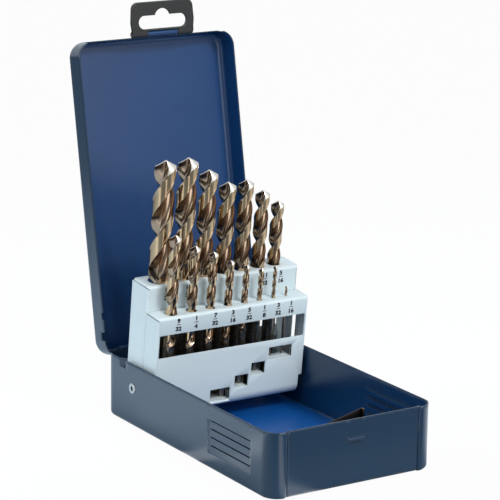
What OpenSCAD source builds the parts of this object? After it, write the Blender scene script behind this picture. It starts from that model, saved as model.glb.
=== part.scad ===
// Sheet-steel drill bit case: tray base, hinged lid with a hang tab that is also
// the hasp, and a stepped bit holder that swings up on two hollow rivets.
// Origin: centre of the base's underside. +X right, +Y to the hinge, +Z up.
// The lid is drawn open, the holder upright and the hang tab standing up.

/* [Base tray] */
// Outer width of the base
base_w = 110; // [100:1:130]
// Outer length of the base, front to hinge
base_l = 184; // [178:1:205]
// Height of the base
base_h = 38.5; // [37:0.5:46]
// Thickness of the case sheet
sheet = 0.7; // [0.5:0.1:0.9]
// Radius of the upright corners
corner_r = 10.5; // [8:0.5:13]
// Radius of the bottom edge
floor_r = 2.5; // [1.5:0.5:3.5]

/* [Front panel and catch] */
// Depth of the recessed front panel
panel_d = 1.2; // [0.8:0.1:1.6]
// Width of the catch that is pressed out of the front panel
catch_w = 10.9; // [7:0.1:12]
// Place of the catch to the right of the middle
catch_x = 1.2; // [-3:0.1:4]
// Height of the catch
catch_h = 2.6; // [2:0.1:3]
// How far the catch stands out of the front panel
catch_out = 1.8; // [1.5:0.1:2]

/* [Side grips] */
// Length of the louvred grip on each side
grip_l = 45.5; // [25:0.5:60]
// Distance from the front of the base to the grip
grip_front = 21; // [16:1:40]
// Number of louvres
grip_n = 4; // [3:1:5]
// Height of one louvre
grip_pitch = 4.9; // [4:0.1:5]
// Depth of a louvre at its upper edge
grip_d = 0.9; // [0.5:0.1:1.2]
// Height of the lowest louvre's lower edge
grip_z = 9.8; // [7:0.2:12]

/* [Lid] */
// Height of the lid above the rim of the base
lid_h = 11.3; // [10:0.1:16]
// Depth of the lid's edge that goes down inside the base
lip_h = 3.9; // [2:0.1:4.5]
// Clearance between the lid's edge and the walls of the base
lip_gap = 0.15; // [0.1:0.05:0.25]
// Radius of the lid's upper edge
lid_r = 4; // [2:0.1:5]
// How far the lid's rear wall lies behind the hinge axis
lid_over = 4; // [3.7:0.1:6]
// Angle of the open lid from closed, in degrees
lid_open = 100.6; // [92:0.2:106]

/* [Rear hinge] */
// Diameter of the hinge pin
pin_d = 2; // [1.6:0.1:2.2]
// Outer diameter of the rear knuckles
knuckle_d = 3.6; // [3.2:0.1:3.8]
// Length of the rear hinge
hinge_l = 88; // [60:1:90]
// Number of rear knuckles, an odd number
knuckles = 5; // [3:2:7]
// Height of the base's hinge leaf
leaf_h = 8.5; // [6:0.5:10]
// Radial clearance of every pin and rivet that something turns on
run_gap = 0.05; // [0.03:0.01:0.08]
// End clearance between knuckles
knuckle_gap = 0.3; // [0.2:0.1:0.5]

/* [Hang tab] */
// Width of the hang tab at its widest
tab_w = 43.8; // [38:0.2:50]
// Reach of the hang tab from its pin
tab_reach = 19.3; // [18.5:0.1:22]
// Thickness of the hang tab
tab_t = 2.2; // [1.8:0.1:2.6]
// Length of the hang slot
slot_l = 33.4; // [28:0.2:35]
// Height of the hang slot
slot_h = 8.1; // [7:0.1:8.4]
// Diameter of the round centre of the hang slot
slot_centre_d = 11.4; // [11:0.2:12.4]
// Place of the hang tab and its hinge to the right of the middle
tab_x = 5; // [-6:0.1:8]
// Lean of the tab from the open lid's plane towards the upright, in degrees
tab_rest = 5.6; // [0:0.2:20]
// Diameter of the tab's pin
tab_pin_d = 1.8; // [1.4:0.1:2]
// Outer diameter of the metal knuckle in the middle
front_knuckle_d = 3.2; // [2.8:0.1:3.4]
// Length of the metal knuckle in the middle
front_knuckle_l = 20.6; // [14:0.2:24]
// Outer diameter of the tab's own knuckles
tab_knuckle_d = 3.8; // [3.4:0.1:3.9]

/* [Bit holder] */
// Thickness of the holder sheet
holder_t = 0.8; // [0.6:0.1:1]
// Clearance between the holder and each wall of the base
side_gap = 1.9; // [1.5:0.1:2.4]
// Distance from the rear of the base to the pivot
pivot_rear = 33.5; // [32:0.5:36]
// Height of the pivot
pivot_z = 23.5; // [23.2:0.1:24.5]
// Forward lean of the raised holder, in degrees
lean = 6; // [4:0.5:8]
// From the pivot to the face of the front panel
front_n = 19.9; // [19.4:0.1:20.2]
// From the pivot forward to the face of the riser
riser_n = 6.5; // [6:0.1:7]
// From the pivot back to the rear face
rear_n = 11.5; // [10.5:0.1:12]
// Height of the lower shelf above the pivot
low_shelf = 50.2; // [47:0.1:53]
// Height of the upper shelf above the pivot
high_shelf = 65.3; // [63:0.1:68]
// Depth of the holder's floor below the pivot
floor_u = 11.9; // [11:0.1:12.4]
// Radius of the bend between front panel and floor
bend_r = 7; // [6:0.2:8]
// Width of the notch at each lower corner of the front panel
notch_w = 3.1; // [2.8:0.1:4]
// Height of the back plate above the pivot
back_u = 21.4; // [15:0.2:26]
// Gap between front flange and rear side plate on the right
right_slit = 3.2; // [1:0.1:4]

/* [Windows in the holder] */
// Distance from each side of the holder to the long window
window_side = 1.9; // [1.7:0.1:6]
// Height of the long window
window_h = 14.2; // [10:0.2:15]
// Distance of the long window below the lower shelf
window_drop = 10.5; // [8:0.1:12]
// Height of each small window
step_h = 7.8; // [6.5:0.1:8.2]

/* [Drill bits] */
// Distance from each inner side wall to the first hole of a row
row_margin = 14.3; // [12.5:0.1:15.3]
// Clearance of each hole around its bit
hole_gap = 0.25; // [0.15:0.05:0.4]
// Rise of the flutes in one turn, in bit diameters
helix = 4.8; // [4.5:0.1:7]
// Thickness of the web between the flutes, in bit diameters
web = 0.2; // [0.15:0.01:0.3]

/* [Leaf spring] */
// Height of the leaf spring
spring_h = 8; // [5:0.5:9]
// Thickness of the leaf spring
spring_t = 0.5; // [0.3:0.1:0.7]
// Length of the leaf spring across the case
spring_l = 51; // [40:1:54]
// How far its free end bows in
spring_bow = 17; // [10:0.5:19]

/* [Rivets] */
// Diameter of the rivet shank
rivet_d = 3.6; // [3:0.1:4]
// Diameter of the rivet head
rivet_head_d = 6.5; // [5.5:0.1:7.5]
// Height of the rivet head
rivet_head_h = 0.7; // [0.5:0.1:1]
// Diameter of the hole through the rivet
rivet_bore_d = 2.6; // [2:0.1:2.6]
// Outer diameter of the pivot washers
washer_d = 8; // [7:0.1:9]

/* [Hidden] */
inch = 25.4;
eps = 0.01;
seat = 0.05;
round_fn = 64;
small_fn = 32;

// Overall length of the bits from 1/16 to 1/2 inch by 1/32, from the jobber series
bit_len = [43, 57, 65, 75, 86, 93, 101, 109, 117, 125, 133, 133, 142, 151, 151];
// Flute length of the same bits
flute_len = [20, 30, 36, 43, 52, 57, 63, 69, 75, 81, 87, 87, 94, 101, 101];
first_32nd = 2;
// The front row holds the eight smallest bits, the rear row the other seven
front_count = 8;
rear_count = 7;

// Rear hinge axis
axis_y = base_l / 2 + knuckle_d / 2 + 0.2;
axis_z = base_h - 1.5;
rim_gap = 0.1;

// Hang tab axis, in the closed case
panel_y = -base_l / 2 + panel_d;
tab_axis_y = panel_y - tab_knuckle_d / 2 - 0.2;
tab_axis_z = base_h + rim_gap - tab_knuckle_d / 2 - seat;
tab_inner = tab_knuckle_d / 2;
slot_near = 2.9;
catch_z = tab_axis_z - slot_near - slot_h + 0.1;

// Outline of the lid, whose edge fits inside the base
lid_w = base_w - 2 * (sheet + lip_gap);
lid_front = base_l / 2 - sheet - lip_gap;
lid_rear = axis_y + lid_over;
lid_mid = (lid_rear - lid_front) / 2;
lid_corner = corner_r - sheet - lip_gap;

// Holder pivot and outline
pivot_y = base_l / 2 - pivot_rear;
inner_half = base_w / 2 - sheet;
holder_half = inner_half - side_gap;
row_span = 2 * (inner_half - row_margin);
window_w = 2 * (holder_half - window_side);
front_row_n = -(front_n + riser_n) / 2 - 0.2;
rear_row_n = (rear_n - riser_n) / 2 + 0.1;
bit_seat = 0.1;

// Place where the raised holder's rear edge meets the stop tabs
stop_drop = 5;
stop_u = (base_h - stop_drop - pivot_z - rear_n * sin(lean)) / cos(lean);
stop_y = pivot_y + rear_n * cos(lean) - stop_u * sin(lean) + seat;
stop_reach = side_gap + 1.6;
stop_top = base_h - 2.4;

function bit_d(i) = inch * (i + first_32nd) / 32;
function half_sum(a, b) = a >= b ? 0 : (bit_d(a) + bit_d(a + 1)) / 2 + half_sum(a + 1, b);
// Equal lands between neighbouring holes: the pitch is the mean diameter plus one land
function land(a, b) = (row_span - half_sum(a, b)) / (b - a);
// The thickest bit of a row is on the left
function bit_x(i) = i < front_count
    ? row_span / 2 - half_sum(0, i) - i * land(0, front_count - 1)
    : row_span / 2 - half_sum(front_count, i)
        - (i - front_count) * land(front_count, front_count + rear_count - 1);

// Small windows: [left edge, right edge, height of the tongue below it], left to right
windows = [
    [bit_x(4) - 12.2, bit_x(4) + 1.6, -8],
    [bit_x(3) - 7, bit_x(3) + 2.6, -1.4],
    [bit_x(2) - 6.4, bit_x(2) + 3.4, 5],
    [bit_x(1) - 4.4, bit_x(0) + 3, 13.2]
];
// Height of the bottom bend's inside at n, and under the front edge of a bit
function bend_u(n) = -floor_u - holder_t + bend_r
    - sqrt(pow(bend_r - holder_t, 2) - pow(min(0, n + front_n - bend_r), 2));
// What each bit stands on: the tongues under the six thinnest, the bend under the
// other two of the front row, the floor under the rear row
function stand_u(i) = i == 0 || i == 1 ? windows[3][2]
    : i == 2 ? windows[2][2]
    : i == 3 ? windows[1][2]
    : i == 4 || i == 5 ? windows[0][2]
    : i < front_count ? bend_u(front_row_n - bit_d(i) / 2)
    : -floor_u;
function bit_n(i) = i < front_count ? front_row_n : rear_row_n;

BITS = ["bit_1_16", "bit_3_32", "bit_1_8", "bit_5_32", "bit_3_16", "bit_7_32",
    "bit_1_4", "bit_9_32", "bit_5_16", "bit_11_32", "bit_3_8", "bit_13_32",
    "bit_7_16", "bit_15_32", "bit_1_2"];

blue = [0.11, 0.2, 0.38];
holder_grey = [0.74, 0.81, 0.84];
bright_steel = [0.78, 0.78, 0.76];
spring_brown = [0.23, 0.19, 0.17];
tab_black = [0.1, 0.1, 0.11];
cobalt_bronze = [0.58, 0.47, 0.33];

// ---- shared shapes ----

// Rectangle with round corners
module outline(w, l, r) {
    square([w - 2 * r, l], center = true);
    square([w, l - 2 * r], center = true);
    for (x = [-1, 1], y = [-1, 1])
        translate([x * (w / 2 - r), y * (l / 2 - r)])
            circle(r, $fn = round_fn);
}

// Upright section of a tray: straight sides, both bottom corners rounded by e
module tray_section(w, h, e) {
    translate([-w / 2 + e, 0]) square([w - 2 * e, h]);
    translate([-w / 2, e]) square([w, h - e]);
    for (x = [-1, 1])
        translate([x * (w / 2 - e), e]) circle(e, $fn = round_fn);
}

// Solid block with upright corners of radius r and a bottom edge of radius e
module tray_form(w, l, h, r, e) {
    rotate([90, 0, 0])
        linear_extrude(l - 2 * r, center = true) tray_section(w, h, e);
    rotate([90, 0, 90])
        linear_extrude(w - 2 * r, center = true) tray_section(l, h, e);
    for (x = [-1, 1], y = [-1, 1])
        translate([x * (w / 2 - r), y * (l / 2 - r), 0])
            rotate_extrude($fn = round_fn) {
                square([r - e, h]);
                translate([0, e]) square([r, h - e]);
                translate([r - e, e]) circle(e, $fn = round_fn);
            }
}

module along_x(x0, x1) {
    translate([x0, 0, 0]) rotate([90, 0, 90]) linear_extrude(x1 - x0) children();
}

// Lid parts are drawn closed and turned open about the rear hinge
module opened() {
    translate([0, axis_y, axis_z]) rotate([-lid_open, 0, 0])
        translate([0, -axis_y, -axis_z]) children();
}

// Holder parts are drawn about the pivot: X across, Y to the rear, Z along the bits
module raised() {
    translate([0, pivot_y, pivot_z]) rotate([lean, 0, 0]) children();
}

// ---- base ----

// Wedges of the louvred grip: deepest at the upper edge of each louvre
module louvres(skin) {
    for (k = [0 : grip_n - 1])
        translate([0, -base_l / 2 + grip_front - skin, grip_z + k * grip_pitch])
            rotate([-90, 0, 0]) mirror([0, 1, 0])
                linear_extrude(grip_l + 2 * skin)
                    polygon([[1, 0], [0, 0], [-grip_d, grip_pitch], [1, grip_pitch]]);
}

module both_sides() {
    children();
    mirror([1, 0, 0]) children();
}

module front_recess(depth) {
    half = base_w / 2 - corner_r + depth - panel_d;
    translate([-half, -base_l / 2 - 1, -1]) cube([2 * half, depth + 1, base_h + 2]);
}

module base_tray() color(blue) {
    difference() {
        tray_form(base_w, base_l, base_h, corner_r, floor_r);
        front_recess(panel_d);
        both_sides() translate([base_w / 2, 0, 0]) louvres(0);
        difference() {
            translate([0, 0, sheet])
                tray_form(base_w - 2 * sheet, base_l - 2 * sheet, base_h,
                    corner_r - sheet, floor_r - sheet);
            front_recess(panel_d + sheet);
            both_sides() translate([base_w / 2 - sheet, 0, 0]) louvres(sheet);
        }
        both_sides() translate([base_w / 2 - 2 * sheet, pivot_y, pivot_z])
            rotate([0, 90, 0])
                cylinder(h = 3 * sheet, r = rivet_d / 2 + run_gap, $fn = round_fn);
        both_sides() stop_slit();
    }
    catch_bump();
    both_sides() stop_tab();
}

// Catch for the hang tab: a rounded bar pressed out of the front panel
module catch_bump() {
    along_x(catch_x - catch_w / 2, catch_x + catch_w / 2) {
        translate([panel_y - catch_out + catch_h / 2, catch_z])
            square([catch_out - catch_h / 2 + sheet / 2, catch_h]);
        translate([panel_y - catch_out + catch_h / 2, catch_z + catch_h / 2])
            circle(catch_h / 2, $fn = small_fn);
    }
}

module stop_slit() {
    slit_w = 1.2;
    translate([base_w / 2 - 2 * sheet, stop_y - 2.6, base_h - stop_drop])
        cube([3 * sheet, slit_w, stop_drop + 1]);
}

// Tongue behind the slit, bent inwards, that the raised holder leans against
module stop_tab() {
    wall = base_w / 2 - sheet;
    root = 4;
    translate([0, 0, base_h - stop_drop])
        linear_extrude(stop_top - base_h + stop_drop)
            polygon([[wall + sheet / 2, stop_y + root], [wall - stop_reach, stop_y],
                [wall - stop_reach, stop_y + sheet], [wall + sheet / 2, stop_y + root + 1.2]]);
}

// ---- rear hinge ----

knuckle_pitch = (hinge_l + knuckle_gap) / knuckles;
function knuckle_x(k) = -hinge_l / 2 + k * knuckle_pitch;

module rear_knuckle(k) {
    translate([knuckle_x(k), axis_y, axis_z]) rotate([0, 90, 0])
        cylinder(h = knuckle_pitch - knuckle_gap, r = knuckle_d / 2, $fn = small_fn);
}

module pin_bore() {
    translate([-hinge_l / 2 - 1, axis_y, axis_z]) rotate([0, 90, 0])
        cylinder(h = hinge_l + 2, r = pin_d / 2 + run_gap, $fn = round_fn);
}

module base_hinge_leaf() color(blue) difference() {
    union() {
        for (k = [0 : 2 : knuckles - 1]) {
            rear_knuckle(k);
            translate([knuckle_x(k), base_l / 2, axis_z - leaf_h])
                cube([knuckle_pitch - knuckle_gap, sheet, leaf_h]);
        }
        translate([-hinge_l / 2, base_l / 2, axis_z - leaf_h])
            cube([hinge_l, sheet, leaf_h - knuckle_d / 2 - knuckle_gap]);
    }
    pin_bore();
}

// A plate inside the lid's rear wall, with a strap to each of its knuckles
module lid_hinge_leaf() color(blue) opened() difference() {
    plate_y = lid_rear - 2 * sheet;
    plate_half = lid_w / 2 - lid_corner - 0.5;
    strap_z = axis_z + knuckle_d / 2 - sheet;
    plate_h = base_h + lid_h - lid_r - 0.2 - strap_z;
    union() {
        translate([-plate_half, plate_y, strap_z]) cube([2 * plate_half, sheet, plate_h]);
        for (k = [1 : 2 : knuckles - 2]) {
            rear_knuckle(k);
            translate([knuckle_x(k), axis_y, strap_z])
                cube([knuckle_pitch - knuckle_gap, plate_y + sheet - axis_y, sheet]);
        }
    }
    pin_bore();
}

module hinge_pin() color(bright_steel)
    translate([-hinge_l / 2, axis_y, axis_z]) rotate([0, 90, 0])
        cylinder(h = hinge_l, r = pin_d / 2, $fn = round_fn);

// ---- lid ----

// Lower edge of the rear wall: it meets the base's hinge leaf when the lid is open
lid_stop_z = axis_z + (base_l / 2 + sheet + seat + 0.03 - axis_y
    - lid_over * cos(lid_open)) / sin(lid_open);

module lid_shell() color(blue) opened() difference() {
    low = base_h + rim_gap;
    bottom = base_h - lip_h - 1;
    corner_y = base_l / 2 - corner_r;
    inner_r = corner_r - sheet;
    translate([0, lid_mid, base_h + lid_h]) mirror([0, 0, 1])
        tray_form(lid_w, lid_front + lid_rear, lid_h + lip_h, lid_corner, lid_r);
    translate([0, lid_mid, base_h + lid_h - sheet]) mirror([0, 0, 1])
        tray_form(lid_w - 2 * sheet, lid_front + lid_rear - 2 * sheet, lid_h + lip_h,
            lid_corner - sheet, lid_r - sheet);
    // The front wall stands on the rim of the recessed panel
    panel_half = base_w / 2 - corner_r + sheet + 0.3;
    translate([-panel_half, -base_l, bottom])
        cube([2 * panel_half, base_l / 2 + panel_d + sheet + lip_gap, low - bottom]);
    // Notches at the stop tongues
    both_sides() translate([inner_half - 5, stop_y + 1.6, bottom])
        cube([10, 4.4, stop_top + rim_gap - bottom]);
    // Notches where the side walls cross the rear corners of the base
    cross_0 = corner_y + sqrt(pow(inner_r, 2) - pow(inner_r - lip_gap, 2)) - 0.6;
    cross_1 = corner_y + sqrt(pow(corner_r, 2) - pow(inner_r - lip_gap - sheet, 2)) + 0.6;
    both_sides() translate([inner_half - 5, cross_0, bottom])
        cube([10, cross_1 - cross_0, low - bottom]);
    // The rear wall ends above the hinge leaf of the base
    rear_half = base_w / 2 - 0.52 * corner_r;
    translate([-rear_half, base_l / 2 - 2, bottom])
        cube([2 * rear_half, lid_over + 10, lid_stop_z - bottom]);
}

// ---- hang tab and its hinge ----

module tab_axis_bar(x0, x1, r) {
    translate([tab_x + x0, tab_axis_y, tab_axis_z]) rotate([0, 90, 0])
        cylinder(h = x1 - x0, r = r, $fn = round_fn);
}

module lid_front_knuckle() color(blue) opened() difference() {
    half = front_knuckle_l / 2;
    strap_z = tab_axis_z + front_knuckle_d / 2 - sheet;
    strap_h = 6.5;
    union() {
        tab_axis_bar(-half, half, front_knuckle_d / 2);
        // Strap from the knuckle to the outside of the lid's front wall
        translate([tab_x - half, tab_axis_y, strap_z])
            cube([2 * half, -lid_front - tab_axis_y, sheet]);
        translate([tab_x - half, -lid_front - sheet, strap_z])
            cube([2 * half, sheet, strap_h]);
    }
    tab_axis_bar(-half - 1, half + 1, tab_pin_d / 2 + run_gap);
}

tab_knuckle_half = tab_w / 2 - 0.7;
module tab_pin() color(bright_steel) opened()
    tab_axis_bar(-tab_knuckle_half, tab_knuckle_half, tab_pin_d / 2);

// Outline of the tab: X across, Y away from the pin
module tab_outline() {
    top_r = 4;
    near = 1.5;
    half = tab_w / 2;
    polygon([[-half + 0.7, near], [half - 0.7, near], [half, 7],
        [half - 0.5, tab_reach - top_r - 1], [half - 1.3, tab_reach - top_r],
        [-half + 1.3, tab_reach - top_r], [-half + 0.5, tab_reach - top_r - 1], [-half, 7]]);
    translate([-half + 1.3 + top_r, tab_reach - top_r - eps])
        square([2 * (half - 1.3 - top_r), top_r + eps]);
    for (x = [-1, 1])
        translate([x * (half - 1.3 - top_r), tab_reach - top_r])
            circle(top_r, $fn = small_fn);
}

module tab_slot() {
    end_r = slot_h / 2;
    translate([-slot_l / 2 + end_r, slot_near]) square([slot_l - 2 * end_r, slot_h]);
    for (x = [-1, 1])
        translate([x * (slot_l / 2 - end_r), slot_near + end_r])
            circle(end_r, $fn = small_fn);
    intersection() {
        translate([0, slot_near + slot_h - 1.8]) circle(slot_centre_d / 2, $fn = round_fn);
        translate([-slot_centre_d, slot_near]) square([2 * slot_centre_d, tab_reach]);
    }
}

// The tab points straight out of the lid, then turns to its rest angle
module hang_tab() color(tab_black) opened()
    translate([tab_x, tab_axis_y, tab_axis_z]) rotate([tab_rest, 0, 0]) difference() {
        knuckle_in = front_knuckle_l / 2 + 0.2;
        union() {
            rotate([0, 0, 180]) translate([0, 0, -tab_inner])
                linear_extrude(tab_t) difference() {
                    tab_outline();
                    tab_slot();
                    translate([-knuckle_in, 0]) square([2 * knuckle_in, 2.2]);
                }
            both_sides() translate([knuckle_in, 0, 0]) rotate([0, 90, 0])
                cylinder(h = tab_knuckle_half - knuckle_in, r = tab_knuckle_d / 2,
                    $fn = round_fn);
            both_sides() translate([knuckle_in, -3, -tab_inner])
                cube([tab_knuckle_half - knuckle_in, 3, tab_t]);
        }
        translate([-tab_w, 0, 0]) rotate([0, 90, 0])
            cylinder(h = 2 * tab_w, r = tab_pin_d / 2 + run_gap, $fn = round_fn);
    }

// ---- holder ----

module hole(i, top) {
    translate([bit_x(i), bit_n(i), top - 2 * holder_t])
        cylinder(h = 3 * holder_t, r = bit_d(i) / 2 + hole_gap, $fn = round_fn);
}

// Section of the lower part: front panel, bend, floor and back plate
module wrap_section() {
    translate([-front_n, -floor_u - holder_t + bend_r])
        square([holder_t, floor_u + holder_t - bend_r]);
    difference() {
        translate([-front_n + bend_r, -floor_u - holder_t + bend_r])
            circle(bend_r, $fn = round_fn);
        translate([-front_n + bend_r, -floor_u - holder_t + bend_r])
            circle(bend_r - holder_t, $fn = round_fn);
        translate([-front_n + bend_r, -floor_u - holder_t - 1])
            square([bend_r + 1, 2 * bend_r + 2]);
        translate([-front_n - 1, -floor_u - holder_t + bend_r])
            square([2 * bend_r + 2, bend_r + 1]);
    }
    translate([-front_n + bend_r, -floor_u - holder_t])
        square([front_n - bend_r + rear_n, holder_t]);
}

module holder_front() color(holder_grey) raised() {
    shelf_n = -riser_n - 0.4;
    left_flange = front_n - riser_n - 0.1;
    right_flange = left_flange - right_slit + 0.8;
    window_top = low_shelf - window_drop;
    difference() {
        union() {
            along_x(-holder_half, holder_half) {
                translate([-front_n, 0]) square([holder_t, low_shelf]);
                translate([-front_n, low_shelf - holder_t])
                    square([shelf_n + front_n, holder_t]);
            }
            along_x(-holder_half + notch_w, holder_half - notch_w) wrap_section();
            // Back plate reaches both side plates
            translate([-holder_half + holder_t, rear_n - holder_t, 0])
                cube([2 * (holder_half - holder_t), holder_t, back_u]);
            translate([-holder_half + notch_w, rear_n - holder_t, -floor_u - holder_t])
                cube([2 * (holder_half - notch_w), holder_t, floor_u + holder_t + eps]);
            translate([-holder_half, -front_n, 0])
                cube([holder_t, left_flange, low_shelf]);
            translate([holder_half - holder_t, -front_n, 0])
                cube([holder_t, right_flange, low_shelf]);
            // Tongues bent in from the small windows
            for (w = windows)
                translate([w[0], -front_n, w[2] - holder_t])
                    cube([w[1] - w[0], step_h + holder_t, holder_t]);
        }
        for (i = [0 : front_count - 1]) hole(i, low_shelf);
        translate([-window_w / 2, -front_n - 1, window_top - window_h])
            cube([window_w, holder_t + 2, window_h]);
        for (w = windows)
            translate([w[0], -front_n - 1, w[2]])
                cube([w[1] - w[0], holder_t + 1, step_h]);
    }
}

// Side plate of the rear part: it comes down to a round ear at the pivot
module side_plate(front_edge) {
    ear_r = 8;
    difference() {
        union() {
            translate([front_edge, 0]) square([rear_n - front_edge, high_shelf]);
            translate([front_edge, -ear_r / 2]) square([rear_n - front_edge, ear_r]);
            translate([0, -ear_r / 4]) circle(ear_r, $fn = round_fn);
        }
        circle(rivet_d / 2 + run_gap, $fn = round_fn);
    }
}

module holder_rear() color(holder_grey) raised() {
    difference() {
        along_x(-holder_half, holder_half) {
            translate([-riser_n, high_shelf - holder_t])
                square([riser_n + rear_n, holder_t]);
            translate([-riser_n, low_shelf - 1.4])
                square([holder_t, high_shelf - low_shelf + 1.4]);
        }
        for (i = [front_count : front_count + rear_count - 1]) hole(i, high_shelf);
    }
    along_x(-holder_half, -holder_half + holder_t)
        intersection() {
            side_plate(-riser_n);
            translate([-riser_n, -front_n]) square([riser_n + rear_n, high_shelf + front_n]);
        }
    along_x(holder_half - holder_t, holder_half)
        intersection() {
            side_plate(-riser_n + 1.3);
            translate([-riser_n + 1.3, -front_n])
                square([riser_n + rear_n, high_shelf + front_n]);
        }
}

// ---- pivots ----

module pivot_rivet() {
    outside = base_w / 2;
    inside = holder_half - holder_t - 2 * seat;
    translate([0, pivot_y, pivot_z]) rotate([0, 90, 0]) difference() {
        union() {
            translate([0, 0, outside]) cylinder(h = rivet_head_h, d = rivet_head_d, $fn = round_fn);
            translate([0, 0, inside - rivet_head_h])
                cylinder(h = outside - inside + rivet_head_h + eps, d = rivet_d, $fn = round_fn);
            translate([0, 0, inside - rivet_head_h])
                cylinder(h = rivet_head_h, d = rivet_d + 1.8, $fn = round_fn);
        }
        cylinder(h = base_w, d = rivet_bore_d, $fn = round_fn);
    }
}
module pivot_rivet_right() color(bright_steel) pivot_rivet();
module pivot_rivet_left() color(bright_steel) mirror([1, 0, 0]) pivot_rivet();

module pivot_washer() {
    translate([holder_half + seat, pivot_y, pivot_z]) rotate([0, 90, 0]) difference() {
        cylinder(h = side_gap - seat, d = washer_d, $fn = round_fn);
        translate([0, 0, -1]) cylinder(h = side_gap + 2, r = rivet_d / 2 + run_gap, $fn = round_fn);
    }
}
module pivot_washer_right() color(bright_steel) pivot_washer();
module pivot_washer_left() color(bright_steel) mirror([1, 0, 0]) pivot_washer();

// ---- leaf spring behind the front panel ----

spring_steps = 24;
spring_x0 = -spring_l * 2 / 3;
spring_y0 = -base_l / 2 + panel_d + sheet;
spring_flat = 0.16;
// Flat where it is welded to the wall, then a growing bow
function spring_y(s) = s < spring_flat ? 0
    : spring_bow * pow((s - spring_flat) / (1 - spring_flat), 1.5);

module leaf_spring() color(spring_brown) {
    top = base_h - 1.5;
    translate([spring_x0, spring_y0, top - spring_h]) linear_extrude(spring_h) {
        polygon(concat(
            [for (k = [0 : spring_steps]) [spring_l * k / spring_steps,
                spring_y(k / spring_steps)]],
            [for (k = [spring_steps : -1 : 0]) [spring_l * k / spring_steps,
                spring_y(k / spring_steps) + spring_t]]));
        translate([spring_l, spring_bow + spring_t - 1.3]) circle(1.3, $fn = small_fn);
    }
}

// ---- drill bits ----

module flute_section(d) {
    flute_r = 0.36 * d;
    difference() {
        circle(d / 2, $fn = 20);
        for (a = [0, 180])
            rotate(a) translate([web * d / 2 + flute_r, 0]) circle(flute_r, $fn = 14);
    }
}

module bit(i) color(cobalt_bronze) raised() {
    d = bit_d(i);
    tip = 0.24 * d;
    fluted = flute_len[i] - tip;
    turn = 360 * fluted / (helix * d);
    translate([bit_x(i), bit_n(i), stand_u(i) + bit_seat]) {
        cylinder(h = bit_len[i] - flute_len[i], r = d / 2, $fn = round_fn);
        translate([0, 0, bit_len[i] - flute_len[i] - eps])
            linear_extrude(fluted + eps, twist = -turn, slices = ceil(turn / 30))
                flute_section(d);
        translate([0, 0, bit_len[i] - tip - eps]) rotate(turn)
            linear_extrude(tip + eps, scale = 0.12) flute_section(d);
    }
}

base_tray();
base_hinge_leaf();
hinge_pin();
leaf_spring();
pivot_rivet_left();
pivot_rivet_right();
pivot_washer_left();
pivot_washer_right();
lid_shell();
lid_hinge_leaf();
lid_front_knuckle();
tab_pin();
hang_tab();
holder_front();
holder_rear();
for (i = [0 : len(BITS) - 1])
    bit(i);
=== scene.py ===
"""Sheet-steel drill bit case, open, with its bit holder raised and fifteen bits in it."""
import math
from fractions import Fraction

import bpy
import numpy as np
from mathutils import Matrix, Vector
from mathutils.geometry import delaunay_2d_cdt


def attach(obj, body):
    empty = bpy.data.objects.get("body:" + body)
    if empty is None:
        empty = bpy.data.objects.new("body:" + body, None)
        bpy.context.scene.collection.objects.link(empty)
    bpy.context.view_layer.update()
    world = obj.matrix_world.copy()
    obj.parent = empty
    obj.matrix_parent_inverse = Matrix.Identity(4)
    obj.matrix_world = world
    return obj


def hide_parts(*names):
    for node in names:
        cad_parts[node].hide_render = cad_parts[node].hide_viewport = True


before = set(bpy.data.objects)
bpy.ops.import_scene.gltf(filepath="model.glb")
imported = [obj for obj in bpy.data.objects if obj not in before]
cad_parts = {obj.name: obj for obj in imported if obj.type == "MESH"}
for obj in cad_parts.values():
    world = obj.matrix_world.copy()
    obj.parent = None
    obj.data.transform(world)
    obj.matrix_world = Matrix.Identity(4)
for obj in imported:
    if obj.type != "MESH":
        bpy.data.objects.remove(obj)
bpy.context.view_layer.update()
MM = 0.001

# ---- camera: the photograph's, 1.4 m away with a long lens ----

AZIMUTH, ELEVATION, ROLL = math.radians(32.7576), math.radians(14.4124), math.radians(0.8638)
EYE = Vector((-0.7421, -1.1353, 0.4625))


def place_camera():
    """Looks from EYE against the back vector of the azimuth and elevation, then rolls about it."""
    back = Vector((-math.sin(AZIMUTH) * math.cos(ELEVATION),
                   -math.cos(AZIMUTH) * math.cos(ELEVATION), math.sin(ELEVATION)))
    right = Vector((0, 0, 1)).cross(back).normalized()
    up = back.cross(right)
    right, up = (right * math.cos(ROLL) + up * math.sin(ROLL),
                 up * math.cos(ROLL) - right * math.sin(ROLL))
    lens = bpy.data.cameras.new("photo_camera")
    lens.lens, lens.sensor_width = 176.0, 36.0
    lens.clip_start, lens.clip_end = 0.05, 50
    camera = bpy.data.objects.new("photo_camera", lens)
    camera.matrix_world = Matrix((right, up, back)).transposed().to_4x4()
    camera.location = EYE
    bpy.context.collection.objects.link(camera)
    bpy.context.scene.camera = camera


place_camera()

# ---- sizes of the case, in millimetres, as in the part's source ----

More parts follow.
